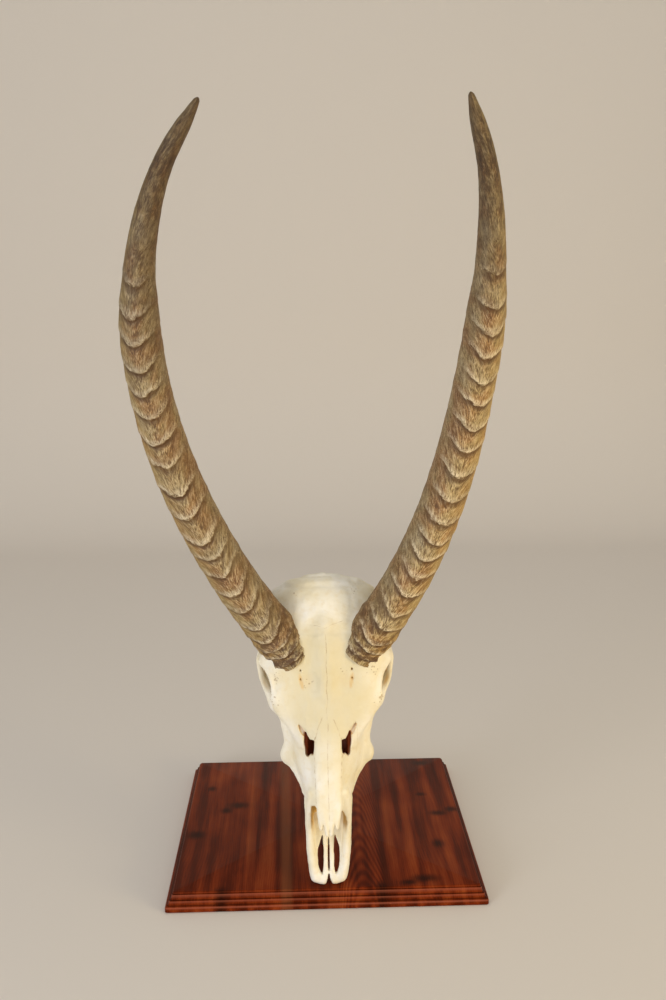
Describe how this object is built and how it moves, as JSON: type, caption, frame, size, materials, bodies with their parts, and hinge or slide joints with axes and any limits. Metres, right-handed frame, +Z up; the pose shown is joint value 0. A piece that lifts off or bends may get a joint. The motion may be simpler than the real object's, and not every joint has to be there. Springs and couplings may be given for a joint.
{
  "type": "waterbuck skull mount",
  "caption": "Horned antelope skull stood nose down on a stepped hardwood base, held from behind by a straight steel rod",
  "frame": {"origin": "middle of the base board's underside", "axes": "+Z up, the forehead faces -Y, the animal's left is +X"},
  "size_m": [0.4156, 0.4679, 0.909],
  "materials": {
    "wood": "dark red-brown hardwood under satin varnish",
    "steel": "drawn bright steel rod",
    "bone": "bare bleached bone, matte to satin",
    "horn": "dry keratin sheath, ringed and fibrous",
    "teeth": "ivory enamel with brown stain between the cusps"
  },
  "bodies": {
    "root": {"base_board": "wood", "support_rod": "steel", "cranium": "bone", "horn_left": "horn", "horn_right": "horn", "tooth_left_premolar_1": "teeth", "tooth_left_premolar_2": "teeth", "tooth_left_premolar_3": "teeth", "tooth_left_molar_1": "teeth", "tooth_left_molar_2": "teeth", "tooth_left_molar_3": "teeth", "tooth_right_premolar_1": "teeth", "tooth_right_premolar_2": "teeth", "tooth_right_premolar_3": "teeth", "tooth_right_molar_1": "teeth", "tooth_right_molar_2": "teeth", "tooth_right_molar_3": "teeth"}
  },
  "joints": []
}
